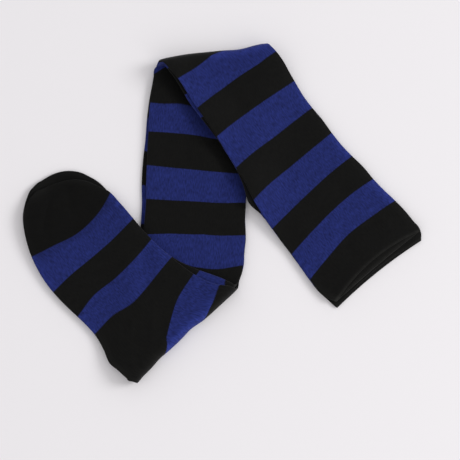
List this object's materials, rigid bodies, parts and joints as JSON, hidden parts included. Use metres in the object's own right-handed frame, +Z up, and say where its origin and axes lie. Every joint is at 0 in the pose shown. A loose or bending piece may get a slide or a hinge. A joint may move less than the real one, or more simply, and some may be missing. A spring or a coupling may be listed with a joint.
{
  "type": "pair of over-the-knee socks",
  "caption": "Pair of thick knit over-the-knee socks in wide blue and black bands, laid on each other and folded together at ankle and knee.",
  "frame": {"origin": "on the table, under the middle of the folded pair's box", "axes": "+X from the toes' side to the welts' side, +Y from the ankle fold's side to the knee fold, +Z up"},
  "size_m": [0.399, 0.3428, 0.0145],
  "materials": {
    "knit_outer": "fine jersey knit, soft and matt, in wide blue and black bands, black toe, heel and welt",
    "knit_inner": "the same knit; its bands lie one to two centimetres nearer the welt"
  },
  "bodies": {
    "root": {"sock_outer": "knit_outer", "sock_inner": "knit_inner"}
  },
  "joints": []
}
